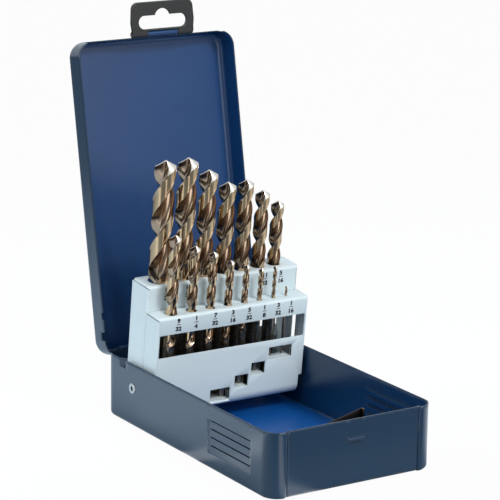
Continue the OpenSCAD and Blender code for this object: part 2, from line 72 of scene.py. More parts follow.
BASE_W, BASE_L, BASE_H, SHEET = 110.0, 184.0, 38.5, 0.7
CORNER_R, FLOOR_R = 10.5, 2.5
PANEL_D, PANEL_HALF, JOGGLE, BEAD_D = 1.2, 44.5, 1.1, 0.6
CATCH_X, CATCH_W, CATCH_H, CATCH_OUT = 1.2, 10.9, 2.6, 1.8
GRIP_FRONT, GRIP_L, GRIP_N, GRIP_PITCH, GRIP_D, GRIP_Z = 21.0, 45.5, 4, 4.9, 0.9, 9.8
SLOT_TALL, SLOT_DEEP = 1.1, 1.5
STOP_REACH, STOP_ROOT, STOP_DROP = 3.5, 4.6, 5.0
SLIT_NEAR, SLIT_FAR = 1.4, 2.6
LID_H, LIP_H, LIP_GAP, LID_OPEN, RIM_GAP = 11.3, 3.9, 0.15, 100.6, 0.1
AXIS_Y, AXIS_Z = 94.0, 37.0
LID_R, LID_W, LID_CORNER = 4.0, BASE_W - 2 * (SHEET + LIP_GAP), CORNER_R - SHEET - LIP_GAP
LID_FRONT, LID_REAR = BASE_L / 2 - SHEET - LIP_GAP, AXIS_Y + 4.0
TAB_X, TAB_Y, TAB_Z, TAB_REST = 5.0, -92.9, 36.65, 5.6
TAB_W, TAB_REACH, TAB_T, TAB_INNER = 43.8, 19.3, 2.2, 1.9
SLOT_L, SLOT_H, SLOT_NEAR, CROWN_R, CROWN_SINK = 33.4, 8.1, 2.9, 5.7, 1.8
CATCH_Z = TAB_Z - SLOT_NEAR - SLOT_H + 0.1
PIVOT_Y, PIVOT_Z, LEAN = 58.5, 23.5, 6.0
HOLDER_T, SIDE_GAP = 0.8, 1.9
HOLDER_HALF = BASE_W / 2 - SHEET - SIDE_GAP
FRONT_N, RISER_N, REAR_N = 19.9, 6.5, 11.5
LOW_SHELF, HIGH_SHELF, FLOOR_U = 50.2, 65.3, 11.9
BEND_R, NOTCH_W, BACK_U = 7.0, 3.1, 21.4
SHELF_R, WRAP_R = 1.7, 1.6
# how far below the shelf's top a wrapped plate ends, along the side and at the front
PLATE_DROP, PLATE_DROP_FRONT, PLATE_CHAMFER = 1.15, 1.9, 1.3
LEAN_COS, LEAN_SIN = math.cos(math.radians(LEAN)), math.sin(math.radians(LEAN))
# the stop tongue stands where the leaning holder's rear edge meets it, at its height STOP_U up the holder
STOP_U = (BASE_H - STOP_DROP - PIVOT_Z - REAR_N * LEAN_SIN) / LEAN_COS
STOP_Y = PIVOT_Y + REAR_N * LEAN_COS - STOP_U * LEAN_SIN + 0.05
WINDOW_W, WINDOW_H, WINDOW_DROP, STEP_H = 101.0, 14.2, 10.5, 7.8
ROW_SPAN, HOLE_GAP = 80.0, 0.25
# one turn of a flute in diameters, and the lip's bearing at the point, in degrees
HELIX, BIT_PHASE = 4.8, -168.0
FRONT_ROW_N, REAR_ROW_N = -13.4, 2.6
BIT_LEN = [43, 57, 65, 75, 86, 93, 101, 109, 117, 125, 133, 133, 142, 151, 151]
FLUTE_LEN = [20, 30, 36, 43, 52, 57, 63, 69, 75, 81, 87, 87, 94, 101, 101]
BIT_NAMES = [str(Fraction(i, 32)).replace("/", "_") for i in range(2, 17)]
BIT_D = [25.4 * i / 32 for i in range(2, 17)]


def row_places(first, count):
    """Hole centres of one row: the pitch is the mean of two diameters plus one land, and all lands are
    equal."""
    means = [(BIT_D[k] + BIT_D[k + 1]) / 2 for k in range(first, first + count - 1)]
    land = (ROW_SPAN - sum(means)) / (count - 1)
    places = [ROW_SPAN / 2]
    for mean in means:
        places.append(places[-1] - mean - land)
    return places


BIT_X = row_places(0, 8) + row_places(8, 7)
# small windows of the front panel: left edge, right edge, height of the tongue below
WINDOWS = [(BIT_X[4] - 12.2, BIT_X[4] + 1.6, -8.0), (BIT_X[3] - 7.0, BIT_X[3] + 2.6, -1.4),
           (BIT_X[2] - 6.4, BIT_X[2] + 3.4, 5.0), (BIT_X[1] - 4.4, BIT_X[0] + 3.0, 13.2)]


def bend_u(n):
    """Height of the bottom bend's inside at n: its circle, or the floor behind it."""
    ahead = min(0.0, n + FRONT_N - BEND_R)
    return -FLOOR_U - HOLDER_T + BEND_R - math.sqrt((BEND_R - HOLDER_T) ** 2 - ahead ** 2)


STAND_U = ([13.2, 13.2, 5.0, -1.4, -8.0, -8.0] + [bend_u(FRONT_ROW_N - BIT_D[k] / 2) for k in (6, 7)]
           + [-FLOOR_U] * 7)


# ---- turning drawn shapes into place ----

def about_x(points, degrees, y0, z0):
    """Points turned about the line y = y0, z = z0 by the right-hand rule about +X."""
    a = math.radians(degrees)
    y, z = points[:, 1] - y0, points[:, 2] - z0
    out = points.copy()
    out[:, 1] = y0 + y * math.cos(a) - z * math.sin(a)
    out[:, 2] = z0 + y * math.sin(a) + z * math.cos(a)
    return out


def opened(points):
    """From the closed lid to the open one."""
    return about_x(points, -LID_OPEN, AXIS_Y, AXIS_Z)


def raised(points):
    """From the holder's own x, n (to the rear), u (along the bits) to the row frame."""
    out = about_x(points, LEAN, 0, 0)
    return out + np.array([0, PIVOT_Y, PIVOT_Z])


# ---- mesh helpers ----

def piece(name, points, faces, materials, body, replaces=(), face_slots=None, sharp=35):
    """A mesh object at the origin from points in millimetres, smooth except at edges sharper than `sharp`
    degrees."""
    mesh = bpy.data.meshes.new(name)
    mesh.from_pydata((np.asarray(points) * MM).tolist(), [], [list(f) for f in faces])
    mesh.validate()
    for material in materials:
        mesh.materials.append(material)
    if face_slots is not None:
        mesh.polygons.foreach_set("material_index", np.asarray(face_slots, np.int32))
    mesh.shade_smooth()
    mesh.set_sharp_from_angle(angle=math.radians(sharp))
    mesh.update()
    obj = bpy.data.objects.new(name, mesh)
    bpy.context.collection.objects.link(obj)
    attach(obj, body)
    if replaces:
        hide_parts(*replaces)
    return obj


def thicken(obj, thickness, inner_slot=0):
    """Gives a sheet its wall, inwards from the drawn outer face, and lets flat faces set the shading at
    bends. The inner side takes the material that is inner_slot places after the outer side's."""
    wall = obj.modifiers.new("sheet", "SOLIDIFY")
    wall.thickness, wall.offset, wall.use_even_offset = thickness * MM, -1.0, True
    wall.use_quality_normals, wall.material_offset = True, inner_slot
    even = obj.modifiers.new("even_shading", "WEIGHTED_NORMAL")
    even.mode, even.weight, even.keep_sharp = "FACE_AREA", 80, True
    return obj


def grid_faces(rows, columns, closed):
    """Quads of a rows by columns grid; closed joins the last column to the first."""
    i, j = np.meshgrid(np.arange(rows - 1), np.arange(columns if closed else columns - 1), indexing="ij")
    k = (j + 1) % columns
    return np.stack([i * columns + j, i * columns + k, (i + 1) * columns + k, (i + 1) * columns + j],
                    -1).reshape(-1, 4)


def spread(breaks, step):
    """Sorted places through all breaks, no further apart than step."""
    breaks = sorted(set(round(b, 5) for b in breaks))
    out = [breaks[0]]
    for a, b in zip(breaks[:-1], breaks[1:]):
        n = max(1, math.ceil((b - a) / step - 1e-6))
        out += [a + (b - a) * k / n for k in range(1, n + 1)]
    return np.array(out)


def smooth(t):
    """0 below 0, 1 above 1, with level ends."""
    t = np.clip(t, 0, 1)
    return t * t * (3 - 2 * t)


# ---- materials ----

def linear(code, alpha=1.0):
    """An sRGB hex colour as linear values."""
    values = [int(code[i:i + 2], 16) / 255 for i in (1, 3, 5)]
    return [v / 12.92 if v <= 0.04045 else ((v + 0.055) / 1.055) ** 2.4 for v in values] + [alpha]


def add(tree, kind, links=(), **settings):
    """One node with its settings; links are (input, output socket) pairs."""
    node = tree.nodes.new(kind)
    for key, value in settings.items():
        if key.startswith("in_"):
            name = key[3:]
            node.inputs[int(name) if name.isdigit() else name.replace("_", " ")].default_value = value
        else:
            setattr(node, key, value)
    for target, source in links:
        tree.links.new(source, node.inputs[target])
    return node


def new_material(name):
    """An empty material, its tree, and the object coordinates that its patterns follow."""
    material = bpy.data.materials.new(name)
    material.use_nodes = True
    tree = material.node_tree
    tree.nodes.clear()
    return material, tree, add(tree, "ShaderNodeTexCoord").outputs["Object"]


def finished(material, shader):
    """The material, with the shader as its surface."""
    add(material.node_tree, "ShaderNodeOutputMaterial", [("Surface", shader.outputs[0])])
    return material


def stove_enamel(name, colour, deep, roughness, coat, peel_mm=1.1, peel=0.05):
    """Baked gloss enamel on steel: a colour that drifts a little over 45 mm, faint orange peel about a
    millimetre across, a clear wet gloss, and edges that the enamel has rounded to 0.3 mm."""
    material, tree, place = new_material(name)
    cloud = add(tree, "ShaderNodeTexNoise", [("Vector", place)],
                in_Scale=22.0, in_Detail=3.0, in_Roughness=0.5)
    mix = add(tree, "ShaderNodeMix", [("Factor", cloud.outputs["Fac"])], data_type="RGBA",
              in_6=linear(deep), in_7=linear(colour))
    orange = add(tree, "ShaderNodeTexNoise", [("Vector", place)],
                 in_Scale=1000.0 / peel_mm, in_Detail=1.0)
    edge = add(tree, "ShaderNodeBevel", samples=6, in_Radius=0.0003)
    bump = add(tree, "ShaderNodeBump", [("Height", orange.outputs["Fac"]), ("Normal", edge.outputs[0])],
               in_Strength=peel, in_Distance=0.0004)
    gloss = add(tree, "ShaderNodeMapRange", [("Value", cloud.outputs["Fac"])],
                in_3=roughness * 0.88, in_4=roughness * 1.12)
    shader = add(tree, "ShaderNodeBsdfPrincipled",
                 [("Base Color", mix.outputs[2]), ("Roughness", gloss.outputs[0]),
                  ("Normal", bump.outputs[0])],
                 in_IOR=1.5, in_Coat_Weight=coat, in_Coat_Roughness=0.16)
    return finished(material, shader)


def plated_steel(name, colour, roughness):
    """Plate or browning on turned steel: a metal gloss made cloudy in patches about 2.5 mm across."""
    material, tree, place = new_material(name)
    cloud = add(tree, "ShaderNodeTexNoise", [("Vector", place)], in_Scale=400.0, in_Detail=3.0)
    rough = add(tree, "ShaderNodeMapRange", [("Value", cloud.outputs["Fac"])],
                in_3=roughness * 0.7, in_4=roughness * 1.4)
    bump = add(tree, "ShaderNodeBump", [("Height", cloud.outputs["Fac"])],
               in_Strength=0.08, in_Distance=0.0002)
    shader = add(tree, "ShaderNodeBsdfPrincipled",
                 [("Roughness", rough.outputs[0]), ("Normal", bump.outputs[0])],
                 in_Base_Color=linear(colour), in_Metallic=1.0)
    return finished(material, shader)


def tool_steel(name, colour, deep, roughness, streak_mm, strength):
    """Ground tool steel: grinding lines across the bit, streak_mm apart, and a faint heat tint that drifts
    along it."""
    material, tree, place = new_material(name)
    stretch = add(tree, "ShaderNodeMapping", [("Vector", place)],
                  in_Scale=(60.0, 60.0, 1000.0 / streak_mm))
    lines = add(tree, "ShaderNodeTexNoise", [("Vector", stretch.outputs[0])], in_Scale=1.0, in_Detail=2.0)
    drift = add(tree, "ShaderNodeTexNoise", [("Vector", place)], in_Scale=45.0, in_Detail=2.0)
    mix = add(tree, "ShaderNodeMix", [("Factor", drift.outputs["Fac"])], data_type="RGBA",
              in_6=linear(deep), in_7=linear(colour))
    rough = add(tree, "ShaderNodeMapRange", [("Value", lines.outputs["Fac"])],
                in_3=roughness * 0.8, in_4=roughness * 1.25)
    bump = add(tree, "ShaderNodeBump", [("Height", lines.outputs["Fac"])],
               in_Strength=strength, in_Distance=0.0001)
    shader = add(tree, "ShaderNodeBsdfPrincipled",
                 [("Base Color", mix.outputs[2]), ("Roughness", rough.outputs[0]),
                  ("Normal", bump.outputs[0])],
                 in_Metallic=1.0)
    return finished(material, shader)


def moulded_plastic(name, colour, roughness):
    """Injection-moulded black plastic with a fine spark-eroded grain about 0.4 mm across."""
    material, tree, place = new_material(name)
    grain = add(tree, "ShaderNodeTexNoise", [("Vector", place)],
                in_Scale=2500.0, in_Detail=2.0)
    bump = add(tree, "ShaderNodeBump", [("Height", grain.outputs["Fac"])],
               in_Strength=0.15, in_Distance=0.0002)
    rough = add(tree, "ShaderNodeMapRange", [("Value", grain.outputs["Fac"])],
                in_3=roughness * 0.85, in_4=roughness * 1.15)
    shader = add(tree, "ShaderNodeBsdfPrincipled",
                 [("Roughness", rough.outputs[0]), ("Normal", bump.outputs[0])],
                 in_Base_Color=linear(colour), in_IOR=1.5)
    return finished(material, shader)


def printing_ink(name, colour):
    """Matt black pad-printed ink, slightly uneven."""
    material, tree, place = new_material(name)
    cloud = add(tree, "ShaderNodeTexNoise", [("Vector", place)], in_Scale=900.0)
    rough = add(tree, "ShaderNodeMapRange", [("Value", cloud.outputs["Fac"])], in_3=0.45, in_4=0.65)
    shader = add(tree, "ShaderNodeBsdfPrincipled", [("Roughness", rough.outputs[0])],
                 in_Base_Color=linear(colour), in_IOR=1.45)
    return finished(material, shader)


BLUE_ENAMEL = stove_enamel("blue_stove_enamel", "#053C70", "#053565", 0.34, 0.12)
# a darker copy of the case's blue for the base's inner walls and the outside of its bottom: painted shade
WALL_SHADE_ENAMEL = stove_enamel("blue_enamel_painted_wall_shade", "#083256", "#072C4D", 0.3, 0.3)
# a brighter copy of the case's blue for the base's inner floor: painted light where the lamp falls into the
# tray
FLOOR_LIGHT_ENAMEL = stove_enamel("blue_enamel_painted_floor_light", "#07529B", "#064A8E", 0.4, 0.1)
# a darker, greyer copy of the case's blue for the outside of the base and the lid: painted shade
OUTER_SHADE_ENAMEL = stove_enamel("blue_enamel_painted_outer_shade", "#0D304B", "#0C2B45", 0.26, 0.6)
GREY_ENAMEL = stove_enamel("light_grey_enamel", "#D2E0E4", "#CCDBE0", 0.42, 0.0, 0.9, 0.04)
ZINC = plated_steel("bright_zinc_plate", "#C4C6C8", 0.3)
# browned spring steel for the leaf spring; the rivets' bores also take it as painted shade
SPRING_STEEL_AND_BORE_SHADE = plated_steel("browned_spring_steel_and_bore_shade", "#4A403C", 0.35)
BLACK_PLASTIC = moulded_plastic("black_moulded_plastic", "#242424", 0.42)
BRONZE_LAND = tool_steel("bronze_oxide_ground_land", "#D2B795", "#BBA07E", 0.16, 0.25, 0.08)
# the flutes take a darker, greyer copy of the land's bronze oxide: painted shade in the hollows
FLUTE_SHADE_BRONZE = tool_steel("bronze_oxide_painted_flute_shade", "#B29A84", "#95806C", 0.2, 0.4, 0.08)
GROUND_POINT = tool_steel("freshly_ground_point", "#F4F0E8", "#E4DFD6", 0.4, 0.2, 0.15)
# bronze oxide on the shanks, made darker and greyer than the land's as painted shade where they stand inside
# the holder
SHANK_SHADE_STEEL = tool_steel("bronze_oxide_painted_shank_shade", "#948B80", "#7D756B", 0.28, 0.2, 0.12)
BLACK_INK = printing_ink("black_pad_print", "#0C0D0F")


# ---- case sheets ----

def outline(width, length, radius, xs, ys, arc=14):
    """Points, outward normals and x, y of the sharp outline once round a rounded rectangle, from the
    front's left end: straight sides at the places in xs and ys, and corners as arcs."""
    half, deep = width / 2, length / 2
    turn = np.linspace(0, math.pi / 2, arc + 1)[1:-1]
    ex, ey = half - radius, deep - radius
    xs, ys = xs[np.abs(xs) < ex - 1e-4], ys[np.abs(ys) < ey - 1e-4]
    xs, ys = np.r_[-ex, xs, ex], np.r_[-ey, ys, ey]
    sides = [
        (np.c_[xs, -deep + 0 * xs], (0, -1)), (np.c_[half + 0 * ys, ys], (1, 0)),
        (np.c_[xs[::-1], deep + 0 * xs], (0, 1)), (np.c_[-half + 0 * ys, ys[::-1]], (-1, 0))]
    centres = [(ex, -ey, -math.pi / 2), (ex, ey, 0), (-ex, ey, math.pi / 2), (-ex, -ey, math.pi)]
    points, normals = [], []
    for (side, normal), (cx, cy, start) in zip(sides, centres):
        points.append(side)
        normals.append(np.tile(normal, (len(side), 1)).astype(float))
        a = start + turn
        ring = np.c_[np.cos(a), np.sin(a)]
        points.append(ring * radius + [cx, cy])
        normals.append(ring)
    return np.concatenate(points), np.concatenate(normals)


def pressed_forms(x, y, z):
    """How far the base's sheet is pressed in at each place. The front panel goes in by PANEL_D over a
    rounded joggle, with a bead at each end, less the catch, a half-round bar that stands out of it. Each
    louvre deepens upwards to GRIP_D below a slot that goes in by SLOT_DEEP more. The stop tongue slants in
    to STOP_REACH behind its slit."""
    front = y < -BASE_L / 2 + 0.01
    side = np.abs(x) > BASE_W / 2 - 0.01
    depth = np.where(front, PANEL_D * smooth((PANEL_HALF + JOGGLE / 2 - np.abs(x)) / JOGGLE)
                     + BEAD_D * np.exp(-((np.abs(x) - PANEL_HALF + 0.5) / 0.4) ** 2), 0.0)
    over_x = smooth((CATCH_W / 2 + 0.35 - np.abs(x - CATCH_X)) / 0.9)
    drop = np.abs(z - CATCH_Z - CATCH_H / 2) / (CATCH_H / 2)
    bar = CATCH_OUT * np.sqrt(np.clip(1 - drop ** 2.6, 0, 1))
    depth = depth - np.where(front, over_x * bar, 0)
    low = -BASE_L / 2 + GRIP_FRONT
    high = low + GRIP_L
    along = smooth((y - low + 0.4) / 2.0) * smooth((high - y + 0.4) / 3.0)
    slotted = np.clip((y - low - 1.6) / 0.4, 0, 1) * np.clip((high - 3.0 - y) / 0.4, 0, 1)
    t = (z - GRIP_Z) / GRIP_PITCH
    inside = (t > -0.06) & (t < GRIP_N)
    part = np.where(t < 0, 0, t - np.floor(t))
    louvre = GRIP_D * (0.35 + 0.65 * part) * np.clip((t + 0.06) / 0.12, 0, 1)
    slot = np.where((1 - part) * GRIP_PITCH < SLOT_TALL, SLOT_DEEP, 0) * slotted
    depth = depth + np.where(side & inside, along * louvre + slot, 0)
    tongue = np.clip((STOP_Y + STOP_ROOT - y) / STOP_ROOT, 0, 1) * (y > STOP_Y - 1.45)
    return depth + np.where(side & (z > BASE_H - STOP_DROP), STOP_REACH * tongue, 0)


def base_tray():
    """The base carried once round its outline: each row has an inset and a height, from the floor's middle
    out through the rounded bottom edge and up the wall, and the pressed forms move it along the wall's
    normal."""
    fine = [(side * PANEL_HALF + a, side * PANEL_HALF + b)
            for side, a, b in ((-1, -0.6, 1.6), (1, -1.6, 0.6))]
    fine += [(end + a, end + b) for end, a, b in ((CATCH_X - CATCH_W / 2, -0.6, 0.7),
                                                  (CATCH_X + CATCH_W / 2, -0.7, 0.6))]
    xs = np.unique(np.concatenate([spread([-46, 46], 3.2)] + [spread(ends, 0.2) for ends in fine]).round(4))
    low = -BASE_L / 2 + GRIP_FRONT
    ys = np.unique(np.r_[spread([-83, 83], 5), spread([low - 0.4, low + 2.0], 0.2),
                         spread([low + GRIP_L - 3.4, low + GRIP_L + 0.4], 0.2), STOP_Y - SLIT_FAR,
                         STOP_Y - SLIT_NEAR, spread([STOP_Y - 0.8, STOP_Y + STOP_ROOT + 0.2], 0.7)].round(4))
    loop, normal = outline(BASE_W, BASE_L, CORNER_R, xs, ys)
    # a pair of close rows at each step of the louvres, so that the steps are sharp
    steps = [GRIP_Z + k * GRIP_PITCH - down for k in range(GRIP_N + 1) for down in (0, SLOT_TALL)]
    heights = np.unique(np.r_[
        spread([FLOOR_R, BASE_H], 2.4), [step + half for step in steps for half in (-0.02, 0.02)],
        GRIP_Z - 0.3, GRIP_Z + 0.3, spread([CATCH_Z - 0.5, CATCH_Z + CATCH_H + 0.5], 0.3),
        BASE_H - STOP_DROP, BASE_H - STOP_DROP - 0.001].round(4))
    heights = heights[heights >= FLOOR_R]
    a = np.linspace(0, math.pi / 2, 7)[:-1]
    insets = np.r_[CORNER_R * 0.8, 5.0, FLOOR_R * (1 - np.sin(a)), 0 * heights]
    levels = np.r_[0, 0, FLOOR_R * (1 - np.cos(a)), heights]
    x0, y0 = loop[:, 0], loop[:, 1]
    rows = []
    for inset, level in zip(insets, levels):
        depth = pressed_forms(x0, y0, np.full_like(x0, level))
        rows.append(np.c_[loop - normal * (np.maximum(inset, 0) + depth * (inset < 4.9))[:, None],
                          np.full(len(loop), level)])
    points = np.concatenate(rows)
    n = len(loop)
    faces = grid_faces(len(rows), n, True)
    # the slit beside the stop tongue
    x, y, z = points[faces].mean(1).T
    slit = (np.abs(x) > 50) & (z > BASE_H - STOP_DROP) & (y > STOP_Y - SLIT_FAR) & (y < STOP_Y - SLIT_NEAR)
    faces = [list(f) for f in faces[~slit]]
    faces.append(list(range(n))[::-1])
    obj = piece("base_pressing", points, faces, [OUTER_SHADE_ENAMEL, WALL_SHADE_ENAMEL, FLOOR_LIGHT_ENAMEL], "base",
                ["base_tray"], sharp=50)
    # the walls' outside takes the darker, greyer copy of the blue as painted shade, the walls' inside and the
    # bottom's outside a darker copy as painted shade, and the inner floor a brighter copy as painted light
    for face in obj.data.polygons:
        face.material_index = int(face.center.z < 0.3 * MM)
    return thicken(obj, SHEET, 1)


def lid_shell():
    """The lid carried once round its own outline, drawn closed: a straight wall whose edge goes down inside
    the base, a rounded top edge and the flat top. Faces are left out of the edge where it would meet the
    base: along the recessed panel, at the stop tongues, where it crosses the base's rear corners, and under
    the rear wall, whose lower edge meets the base's hinge leaf when the lid is open. cross_0 and cross_1
    are where the base's inner and outer corner arcs meet the lid's straight wall, and stop_z is the rear
    wall's edge that clears the open hinge."""
    middle = (LID_REAR - LID_FRONT) / 2
    corner_y, inner_r = BASE_L / 2 - CORNER_R, CORNER_R - SHEET
    cross_0 = corner_y + math.sqrt(inner_r ** 2 - (inner_r - LIP_GAP) ** 2) - 0.6
    cross_1 = corner_y + math.sqrt(CORNER_R ** 2 - (inner_r - LIP_GAP - SHEET) ** 2) + 0.6
    turn = math.radians(LID_OPEN)
    leaf_face = BASE_L / 2 + SHEET + 0.08 - AXIS_Y
    stop_z = AXIS_Z + (leaf_face - (LID_REAR - AXIS_Y) * math.cos(turn)) / math.sin(turn)
    notch_0, notch_1, notch_z, rim_z = STOP_Y + 1.6, STOP_Y + 6.0, BASE_H - 2.3, BASE_H + RIM_GAP
    ys = np.unique(np.r_[spread([-88, 88], 6), notch_0, notch_1, cross_0, cross_1].round(4)) - middle
    loop, normal = outline(LID_W, LID_FRONT + LID_REAR, LID_CORNER, spread([-44, 44], 5), ys)
    loop = loop + [0, middle]
    low, high = BASE_H - LIP_H, BASE_H + LID_H
    a = np.linspace(0, math.pi / 2, 8)
    insets = np.r_[np.zeros(7), LID_R * (1 - np.cos(a)), 6.5, CORNER_R * 0.85]
    levels = np.r_[low, notch_z, stop_z, rim_z, rim_z + 2, rim_z + 4, high - LID_R - 0.6,
                   high - LID_R + LID_R * np.sin(a), high, high]
    points = np.concatenate([np.c_[loop - normal * inset, np.full(len(loop), level)]
                             for inset, level in zip(insets, levels)])
    n = len(loop)
    faces = grid_faces(len(levels), n, True)
    x, y, z = points[faces].mean(1).T
    x = np.abs(x)
    front_wall, side_wall, rear_wall = y < -89.9, x > 50, y > 90
    cut = front_wall & (x < PANEL_HALF + 2.7) & (z < rim_z)
    cut |= side_wall & (y > notch_0) & (y < notch_1) & (z < notch_z)
    cut |= side_wall & (y > cross_0) & (y < cross_1) & (z < rim_z)
    cut |= rear_wall & (x < BASE_W / 2 - 0.52 * CORNER_R) & (z < stop_z)
    faces = [list(f) for f in faces[~cut]]
    faces.append(list(range(len(points) - n, len(points))))
    # the lid's outside takes the darker, greyer copy of its blue as painted shade, and its inside the blue
    # itself
    obj = piece("lid_pressing", opened(points), faces, [OUTER_SHADE_ENAMEL, BLUE_ENAMEL], "lid", ["lid_shell"],
                sharp=50)
    return thicken(obj, SHEET, 1)


# ---- bent sheets of the holder ----

def flat_sheet(boundary, holes, lines):
    """Triangles of a flat blank: its boundary, its holes, and extra straight lines where it will be
    bent."""
    points, edges = [], []
    for ring in [boundary] + holes:
        start = len(points)
        points.extend(Vector(p) for p in ring)
        edges.extend((start + k, start + (k + 1) % len(ring)) for k in range(len(ring)))
    for p, q in lines:
        start = len(points)
        points.extend([Vector(p), Vector(q)])
        edges.append((start, start + 1))
    out = delaunay_2d_cdt(points, edges, [], 1, 1e-5)
    flat = np.array([tuple(v) for v in out[0]])
    triangles = np.array(out[2])
    middle = flat[triangles].mean(1)
    keep = inside_ring(middle, boundary)
    for ring in holes:
        keep &= ~inside_ring(middle, ring)
    used, triangles = np.unique(triangles[keep], return_inverse=True)
    return flat[used], triangles.reshape(-1, 3)


def inside_ring(points, ring):
    """Even-odd rule: a point is inside if a ray to the right of it crosses the ring an odd number of
    times."""
    ring = np.asarray(ring, float)
    inside = np.zeros(len(points), bool)
    for (xa, ya), (xb, yb) in zip(ring, np.roll(ring, -1, 0)):
        if ya == yb:
            continue
        crosses = (points[:, 1] > min(ya, yb)) & (points[:, 1] <= max(ya, yb))
        at = xa + (points[:, 1] - ya) * (xb - xa) / (yb - ya)
        inside ^= crosses & (at > points[:, 0])
    return inside


def corner_arc(before, here, after, r, steps=None):
    """The arc of radius r that rounds the corner at here, as steps + 1 points: it starts and ends at r
    tan(turn / 2) from the corner, and its centre is r to the side that the path turns to."""
    p, q, s = (np.array(v, float) for v in (before, here, after))
    a, b = (q - p) / np.linalg.norm(q - p), (s - q) / np.linalg.norm(s - q)
    turn = math.atan2(a[0] * b[1] - a[1] * b[0], a @ b)
    side = np.array([-a[1], a[0]]) * (1 if turn > 0 else -1)
    steps = steps or max(4, int(abs(turn) * (r + 2) * 1.1))
    w = abs(turn) * np.arange(steps + 1)[:, None] / steps
    centre = q - a * r * math.tan(abs(turn) / 2) + side * r
    return centre + r * (a * np.sin(w) - side * np.cos(w))


def bent_path(corners, radii):
    """A path through corners with an arc of the given radius at each inner one, as its arc length, its (n,
    u) points and the first and last number of each arc's points."""
    path, marks = [np.array(corners[:1], float)], []
    count = 1
    for before, here, after, r in zip(corners[:-2], corners[1:-1], corners[2:], radii):
        path.append(corner_arc(before, here, after, r))
        marks.append((count, count + len(path[-1]) - 1))
        count += len(path[-1])
    path = np.concatenate(path + [np.array(corners[-1:], float)])
    length = np.r_[0, np.cumsum(np.linalg.norm(np.diff(path, axis=0), axis=1))]
    return length, path, marks


def circle(x, s, r, count=40):
    """A ring of radius r about (x, s)."""
    a = np.linspace(0, 2 * math.pi, count, endpoint=False)
    return np.c_[x + r * np.cos(a), s + r * np.sin(a)].tolist()


def box_ring(x0, x1, s0, s1, r=0.8, count=5):
    """A rectangle with small round corners."""
    out = []
    centres = ((x1 - r, s1 - r, 0), (x0 + r, s1 - r, 90), (x0 + r, s0 + r, 180), (x1 - r, s0 + r, 270))
    for cx, cy, start in centres:
        a = np.radians(start + np.linspace(0, 90, count))
        out += np.c_[cx + r * np.cos(a), cy + r * np.sin(a)].tolist()
    return out


def sheet_strip(half_widths, corners, radii, holes):
    """A blank bent along lines across it: the blank's second coordinate is the length along the section's
    path, and half_widths gives (arc length, half width) pairs of its ends."""
    length, path, marks = bent_path(corners, radii)
    right = [(w, s) for s, w in half_widths(length, marks)]
    boundary = right + [(-w, s) for w, s in right[::-1]]
    lines = [((-60, length[k]), (60, length[k])) for a, b in marks for k in range(a, b + 1)]
    flat, triangles = flat_sheet(boundary, holes(length, marks), lines)
    n, u = (np.interp(flat[:, 1], length, path[:, k]) for k in (0, 1))
    return np.c_[flat[:, 0], n, u], triangles


def join(parts):
    """Several (points, faces) into one."""
    points, faces, start = [], [], 0
    for p, f in parts:
        points.append(p)
        faces += [[int(v) + start for v in face] for face in f]
        start += len(p)
    return np.concatenate(points), faces


def face_out(points, faces, outward):
    """Turns each face whose normal points against the outward direction given for its middle."""
    out = []
    for face in faces:
        p = points[list(face)]
        normal = np.cross(p[1] - p[0], p[2] - p[0])
        out.append(face if normal @ outward(p.mean(0)) >= 0 else face[::-1])
    return out


WRAP_ARC = WRAP_R * math.pi / 2


def upright_wrap(side, front, ring, holes):
    """A side plate that is bent round from the front at an upright arc of WRAP_R. The ring is in (s, u),
    with s = 0 where the arc begins on the front face; beyond the arc, s runs straight to the rear."""
    lines = [((WRAP_ARC * k / 6, -60), (WRAP_ARC * k / 6, 90)) for k in range(1, 7)]
    flat, triangles = flat_sheet(ring, holes, lines)
    s = flat[:, 0]
    a = np.clip(s, 0, WRAP_ARC) / WRAP_R
    x = HOLDER_HALF - WRAP_R + WRAP_R * np.sin(a)
    n = front + WRAP_R * (1 - np.cos(a)) + np.maximum(s - WRAP_ARC, 0)
    points = np.c_[side * x, n, flat[:, 1]]

    def outward(p):
        """Straight off the side, and partly to the front where the plate begins its bend."""
        return np.array([p[0], -0.2 * abs(p[0]) * (p[1] < front + 1), 0])

    return points, face_out(points, triangles, outward)


def bit_holes(numbers, s_of_row):
    """The round holes of one row of bits, s_of_row along the blank."""
    return [circle(BIT_X[k], s_of_row, BIT_D[k] / 2 + HOLE_GAP) for k in numbers]


def bent_sheet(name, parts, replaced):
    """The joined parts of one sheet of the holder, leaned into place, painted and given their wall."""
    points, faces = join(parts)
    obj = piece(name, raised(points), faces, [GREY_ENAMEL], "holder", [replaced], sharp=40)
    return thicken(obj, HOLDER_T)


